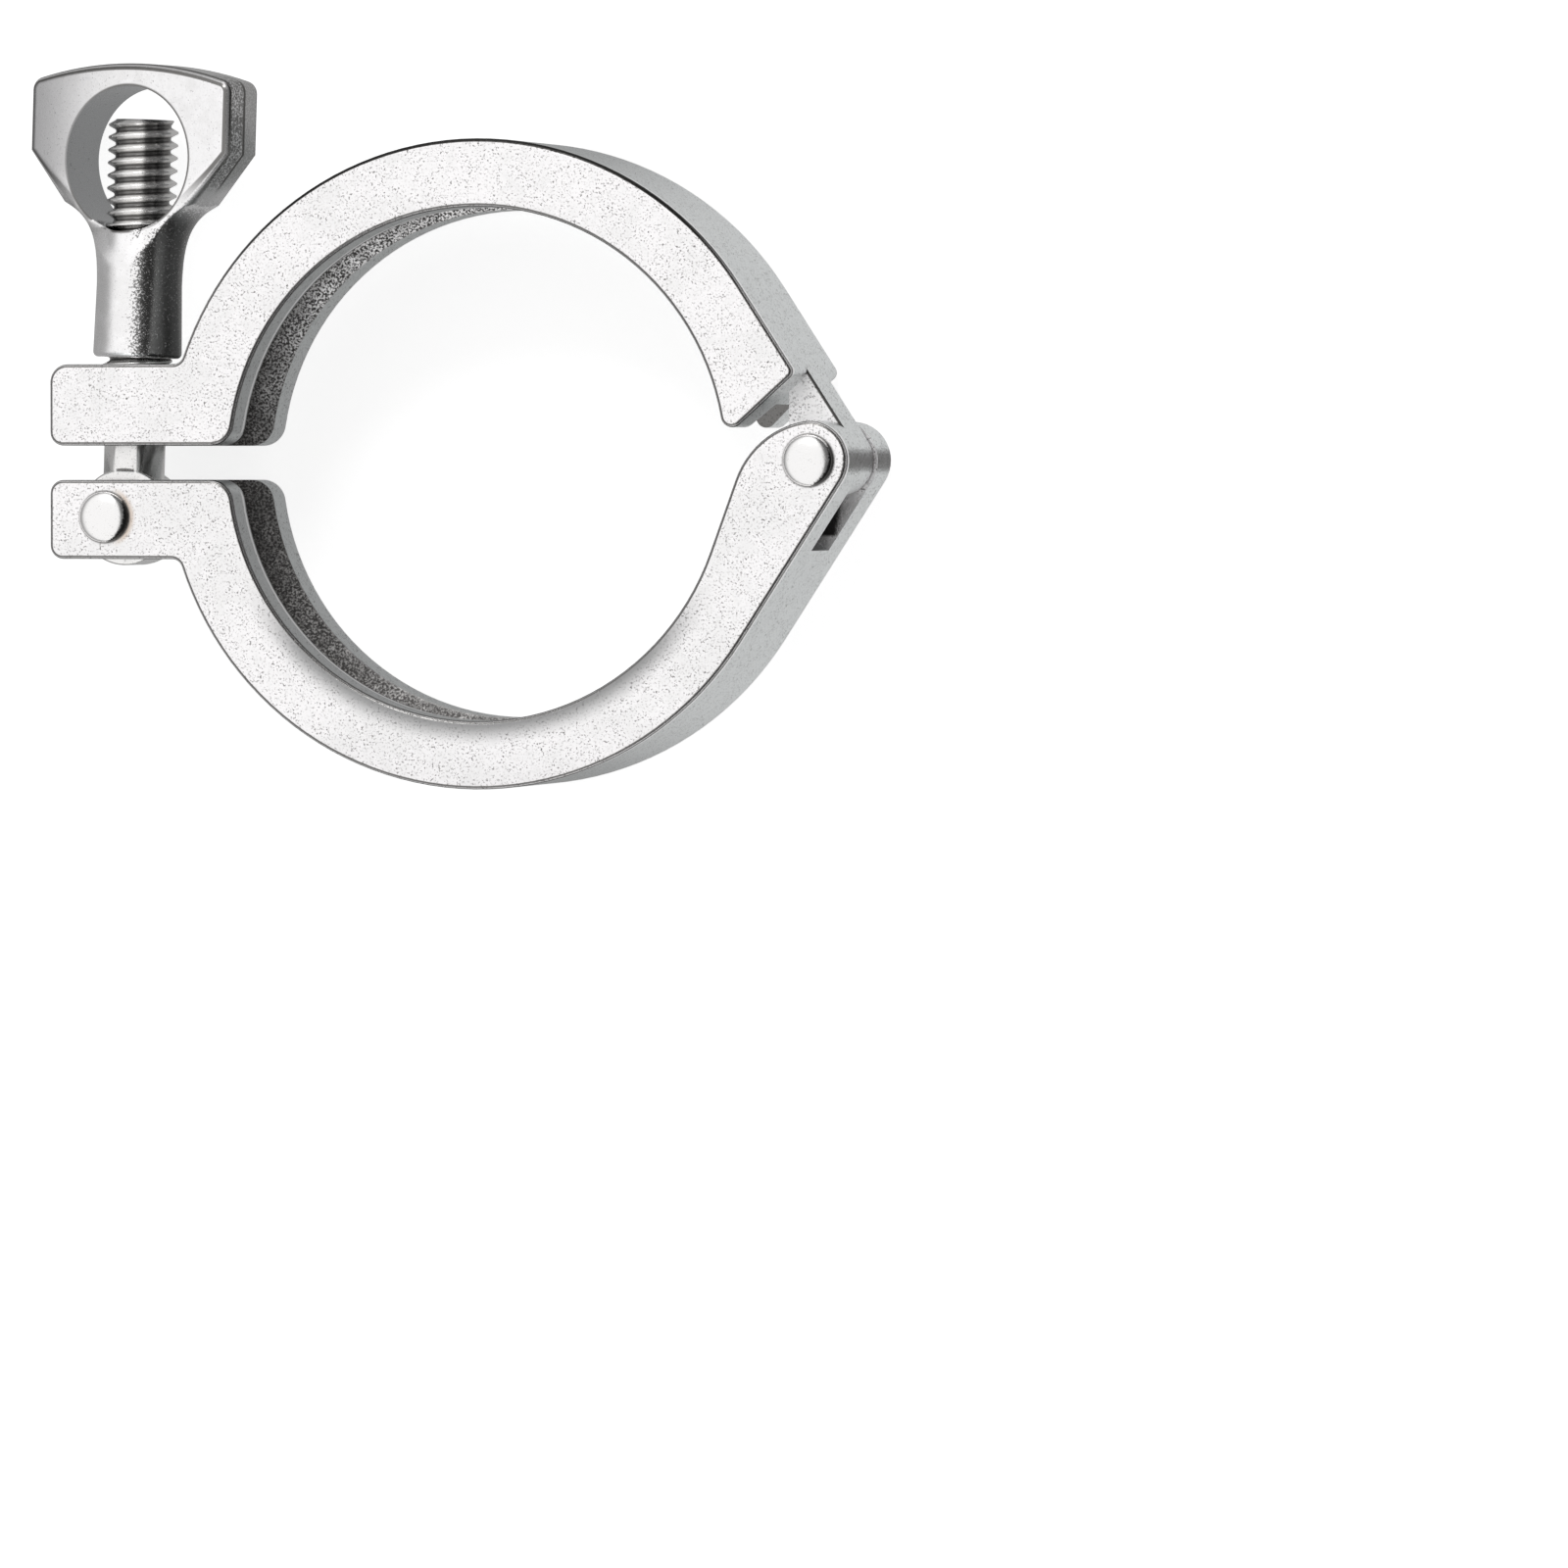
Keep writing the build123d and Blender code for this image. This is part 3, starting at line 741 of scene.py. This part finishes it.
def threadHeight(phase, flank):
    points = list(flank) + [(1.0, flank[0][1])]
    for (start, low), (end, high) in zip(points, points[1:]):
        if start <= phase <= end:
            return low + (high - low) * (phase - start) / (end - start)
    return points[-1][1]


def makeThread(spec):
    pitch, sides, flank = spec["pitch"], spec["sides"], spec["flank"]
    rows = len(flank)
    low, high = spec["start"] - spec["foot"], spec["end"]
    turns = int((high - low) / pitch) + 3
    vertices, faces = [], []
    for column in range(sides):
        turn = column / sides
        for row in range(turns * rows):
            along = low + (row // rows - 1 + flank[row % rows][0] + turn) * pitch
            along = min(max(along, low), high)
            phase = ((along - low) / pitch - turn) % 1.0
            full = spec["majorRadius"] - spec["depth"] * (1 - threadHeight(phase, flank))
            rise = min(max((along - spec["start"]) / spec["runOut"], 0.0), 1.0)
            radius = spec["shankRadius"] + (full - spec["shankRadius"]) * rise * rise * (3 - 2 * rise)
            radius = min(radius, spec["majorRadius"] - spec["endChamfer"] + (high - along))
            vertices.append((radius * cos(turn * tau), radius * sin(turn * tau), along))
    count = turns * rows
    for column in range(sides):
        step = 0 if column < sides - 1 else rows
        nextColumn = (column + 1) % sides
        for row in range(count - 1 - step):
            first = column * count + row
            second = nextColumn * count + row + step
            faces.append((first, second, second + 1, first + 1))
    mesh = bpy.data.meshes.new("thread")
    mesh.from_pydata(vertices, [], faces)
    return workOn(mesh, [joinCorners, closeHoles, turnOutward])


# The solid below a plane, closed again
def cutBelow(mesh, place, direction):
    def cut(shell):
        parts = shell.verts[:] + shell.edges[:] + shell.faces[:]
        bmesh.ops.bisect_plane(shell, geom=parts, plane_co=place, plane_no=direction, clear_outer=True)

    return workOn(mesh, [joinCorners, cut, closeHoles, turnOutward], bpy.data.meshes.new("cut"))


# Exact boolean of two closed meshes
def combine(first, second, operation):
    objects = []
    for mesh in (first, second):
        solid = bpy.data.objects.new("solid", mesh)
        bpy.context.scene.collection.objects.link(solid)
        objects.append(solid)
    step = objects[0].modifiers.new("step", "BOOLEAN")
    step.operation = operation
    step.solver = "EXACT"
    step.object = objects[1]
    graph = bpy.context.evaluated_depsgraph_get()
    result = bpy.data.meshes.new_from_object(objects[0].evaluated_get(graph))
    for solid in objects:
        bpy.data.objects.remove(solid)
    return result


# Solid of revolution about Z from (radius, level) points, closed at both ends
def makeLathe(name, outline, sides):
    vertices = [(radius * cos(side / sides * tau), radius * sin(side / sides * tau), level)
                for radius, level in outline for side in range(sides)]
    centre, last = len(vertices), (len(outline) - 1) * sides
    vertices.extend([(0, 0, outline[0][1]), (0, 0, outline[-1][1])])
    ring = [(side, (side + 1) % sides) for side in range(sides)]
    faces = [(row + side, row + after, row + sides + after, row + sides + side)
             for row in range(0, last, sides) for side, after in ring]
    faces.extend([(side, centre, after) for side, after in ring])
    faces.extend([(last + side, last + after, centre + 1) for side, after in ring])
    mesh = bpy.data.meshes.new(name)
    mesh.from_pydata(vertices, [], faces)
    return workOn(mesh, [turnOutward])


standing = boltUp.to_track_quat("Z", "X").to_matrix().to_4x4()
threadMesh = makeThread(threadSpec)
threadMesh.transform(Matrix.Translation(boltPin) @ standing)
shankMesh = cutBelow(nodes["eye_bolt"].data, boltPin + boltUp * threadSpec["start"], boltUp)
boltMesh = combine(shankMesh, threadMesh, "UNION")
showInstead("shown_eye_bolt", boltMesh, "bolt", materials["eye_bolt"])
print("threaded bolt:", len(boltMesh.polygons), "faces")


# Pins with softly domed heads, as they look after riveting
pinSpec = {
    "radius": 2.1 * mm,
    "seatGap": 0.02 * mm,
    "headRadius": 2.8 * mm,
    "headHeight": 1.15 * mm,
    "rimHeight": 0.22 * mm,
    "domePower": 2.3,
    "domeRows": 14,
    "tipRadius": 0.05 * mm,
    "peenDepth": 0.8 * mm,
    "peenFlare": 0.7 * mm,
    "sides": 96,
}


def makePin(spec, place):
    seat, back = halfWidth + spec["seatGap"], -halfWidth + spec["seatGap"]
    radius, headRadius, rim = spec["radius"], spec["headRadius"], seat + spec["rimHeight"]
    flare = radius + spec["peenFlare"] - spec["seatGap"]
    outline = [(flare, back), (radius, back + spec["peenDepth"]), (radius, seat), (headRadius, seat)]
    rise, power = spec["headHeight"] - spec["rimHeight"], spec["domePower"]
    for row in range(spec["domeRows"]):
        turn = row / spec["domeRows"] * pi / 2
        outline.append((headRadius * cos(turn) ** (2 / power), rim + rise * sin(turn) ** (2 / power)))
    outline.append((spec["tipRadius"], seat + spec["headHeight"]))
    mesh = makeLathe("pin", outline, spec["sides"])
    mesh.transform(Matrix.Translation((place.x, place.y, 0)))
    return mesh


for name, place in (("hinge_pin", hingePin), ("bolt_pin", boltPin)):
    showInstead("shown_" + name, makePin(pinSpec, place), "lower", materials["pins"])
print("pins made")


# Nut with a thin inner neck, so that the casting closes round the bolt right up to the round hole.
# Sizes are in millimetres, levels above the nut's foot; the outline is (radius, level).
neckSpec = {
    "outline": ((4.5, 6.0), (4.5, 9.0), (4.45, 11.0), (4.32, 12.5), (4.2, 13.5), (4.1, 15.0), (4.02, 16.5)),
    "boltHole": 3.95,
    "boltHoleEnd": 30,
    "eyelet": 8.1,
    "eyeletHalf": 10,
    "eyeletHeight": 22.1,
    "footHeight": 17.708,  # above the bolt pin
    "sides": 96,
}


def makeNeck(spec):
    def lathe(name, outline):
        return makeLathe(name, [(radius * mm, level * mm) for radius, level in outline], spec["sides"])

    hole = lathe("hole", [(spec["boltHole"], level) for level in (0, spec["boltHoleEnd"])])
    neck = combine(lathe("neck", spec["outline"]), hole, "DIFFERENCE")
    foot = boltPin + boltUp * spec["footHeight"] * mm
    neck.transform(Matrix.Translation(foot) @ standing)
    eyelet = lathe("eyelet", [(spec["eyelet"], side * spec["eyeletHalf"]) for side in (-1, 1)])
    level = foot + boltUp * spec["eyeletHeight"] * mm
    turned = nutFacing.to_track_quat("Z", "Y").to_matrix().to_4x4()
    eyelet.transform(Matrix.Translation(level) @ turned)
    return combine(neck, eyelet, "DIFFERENCE")


cleanNut = workOn(nodes["wing_nut"].data, [joinCorners], bpy.data.meshes.new("clean"))
nutMesh = combine(cleanNut, makeNeck(neckSpec), "UNION")
showInstead("shown_wing_nut", nutMesh, "nut", materials["wing_nut"])
print("nut made:", len(nutMesh.polygons), "faces")


# White ground: the camera sees it lit evenly, and shiny steel sees it darker on the nut's side
floorSpec = {
    "size": 6.0,
    "gap": 0.01 * mm,  # below the clamp
    "colour": (0.86, 0.86, 0.86, 1.0),
    "glowColour": (1.0, 1.0, 1.0, 1.0),
    "glow": 0.78,
    "roughness": 0.9,
    "seenLeft": 0.36,
    "seenMiddle": 0.42,
    "seenRight": 0.80,
    "leftEdge": (-0.060, -0.045),
    "rightEdge": (0.005, 0.028),
}


def makeFloor(spec, level):
    mesh = bpy.data.meshes.new("floor")
    half = spec["size"] / 2
    corners = [(-half, -half, level), (half, -half, level), (half, half, level), (-half, half, level)]
    mesh.from_pydata(corners, [], [(0, 1, 2, 3)])
    floor = bpy.data.objects.new("floor", mesh)
    bpy.context.scene.collection.objects.link(floor)
    material = bpy.data.materials.new("white floor")
    material.use_nodes = True
    tree = material.node_tree
    path = addNode(tree, "ShaderNodeLightPath", (-900, 200)).outputs
    seen = addMath(tree, "MAXIMUM", (-500, 200), path["Is Camera Ray"], path["Is Transmission Ray"])
    shader = tree.nodes["Principled BSDF"]
    fillInputs(tree, shader, {
        "Base Color": spec["colour"],
        "Roughness": spec["roughness"],
        "Specular IOR Level": 0.0,
        "Emission Color": spec["glowColour"],
        "Emission Strength": addMath(tree, "MULTIPLY", (-300, 200), seen, spec["glow"]),
    })
    coords = addNode(tree, "ShaderNodeTexCoord", (-1100, -200))
    parts = addNode(tree, "ShaderNodeSeparateXYZ", (-900, -200), {0: coords.outputs["Object"]})
    left, middle, right = spec["seenLeft"], spec["seenMiddle"], spec["seenRight"]
    rising = addRamp(tree, (-700, -100), parts.outputs["X"], *spec["leftEdge"], left, middle)
    further = addRamp(tree, (-700, -350), parts.outputs["X"], *spec["rightEdge"], 0.0, right - middle)
    strength = addMath(tree, "ADD", (-500, -200), rising, further)
    glow = addNode(tree, "ShaderNodeEmission", (-300, -200), {"Strength": strength})
    inputs = {0: path["Is Glossy Ray"], 1: shader.outputs[0], 2: glow.outputs[0]}
    either = addNode(tree, "ShaderNodeMixShader", (300, 0), inputs)
    fillInputs(tree, tree.nodes["Material Output"], {"Surface": either.outputs[0]})
    floor.data.materials.append(material)


makeFloor(floorSpec, cadBox[0][2] - floorSpec["gap"])

# Light tent as shiny steel sees it: white above, grey low on the left and nearly black on the right.
# Angles are in degrees from straight above, towards the hinge.
skySpec = {
    "colour": (1.0, 1.0, 1.0, 1.0),
    "seen": 1.0,
    "fill": 0.32,
    "left": 0.38,
    "leftEdge": (-46, -80),
    "right": 0.15,
    "rightEdge": (19, 24),
    "rightLow": 0.05,
    "rightLowEdge": (30, 85),
}


def makeSky(spec):
    world = bpy.data.worlds.new("studio")
    world.use_nodes = True
    tree = world.node_tree
    coords = addNode(tree, "ShaderNodeTexCoord", (-1700, -200))
    parts = addNode(tree, "ShaderNodeSeparateXYZ", (-1500, -200), {0: coords.outputs["Generated"]}).outputs
    angle = addMath(tree, "ARCTAN2", (-1300, -200), parts["X"], parts["Z"])
    turn = addMath(tree, "MULTIPLY", (-1100, -200), angle, 180 / pi)
    left = addRamp(tree, (-900, 0), turn, *spec["leftEdge"], spec["seen"], spec["left"])
    right = addRamp(tree, (-900, -200), turn, *spec["rightEdge"], 1.0, spec["right"])
    low = addRamp(tree, (-900, -400), turn, *spec["rightLowEdge"], 1.0, spec["rightLow"] / spec["right"])
    shape = addMath(tree, "MULTIPLY", (-500, -200), addMath(tree, "MULTIPLY", (-700, -100), left, right), low)
    path = addNode(tree, "ShaderNodeLightPath", (-900, 400)).outputs
    seen = addMath(tree, "MAXIMUM", (-700, 400), path["Is Camera Ray"], path["Is Transmission Ray"])
    diffuse = addMath(tree, "MULTIPLY", (-500, 300), path["Is Diffuse Ray"], spec["fill"])
    glossy = addMath(tree, "MULTIPLY", (-300, 0), path["Is Glossy Ray"], shape)
    strength = addMath(tree, "ADD", (-100, 200), addMath(tree, "ADD", (-200, 300), seen, diffuse), glossy)
    fillInputs(tree, tree.nodes["Background"], {"Color": spec["colour"], "Strength": strength})
    bpy.context.scene.world = world


makeSky(skySpec)

# One soft lamp, high in front of the clamp
lampSpec = {
    "key": {"place": (-0.1, 0.75, 0.75), "size": 0.35, "power": 2.0},
}


def makeLamp(name, spec):
    light = bpy.data.lights.new(name, "AREA")
    light.shape = "DISK"
    light.size = spec["size"]
    light.energy = spec["power"]
    lamp = bpy.data.objects.new(name, light)
    lamp.location = spec["place"]
    lamp.rotation_euler = Vector(spec["place"]).to_track_quat("Z", "Y").to_euler()
    bpy.context.scene.collection.objects.link(lamp)


for name, spec in lampSpec.items():
    makeLamp(name + " lamp", spec)

# Seen from the front, a little from the hinge's side
cameraSpec = {
    "turn": 16.0,  # degrees from the bore's axis towards the hinge
    "distance": 1.2,
    "frameWidth": 0.1736,  # what the picture spans at the clamp
    "aimRight": 0.0313,
    "aimUp": -0.0354,
    "sensor": 36.0,
    "nearest": 0.01,
}


def makeCamera(spec):
    turn = radians(spec["turn"])
    outward = Vector((sin(turn), 0, cos(turn)))
    right = Vector((cos(turn), 0, -sin(turn)))
    upward = Vector((0, 1, 0))
    place = outward * spec["distance"]
    target = right * spec["aimRight"] + upward * spec["aimUp"]
    forward = (target - place).normalized()
    side = forward.cross(upward).normalized()
    top = side.cross(forward)
    data = bpy.data.cameras.new("camera")
    data.sensor_width = spec["sensor"]
    data.lens = spec["sensor"] * (target - place).length / spec["frameWidth"]
    data.clip_start = spec["nearest"]
    camera = bpy.data.objects.new("camera", data)
    camera.matrix_world = Matrix((side, top, -forward)).transposed().to_4x4()
    camera.location = place
    bpy.context.scene.collection.objects.link(camera)
    bpy.context.scene.camera = camera


makeCamera(cameraSpec)
bpy.context.scene.view_settings.view_transform = "Standard"
print("floor, lamps and camera placed")
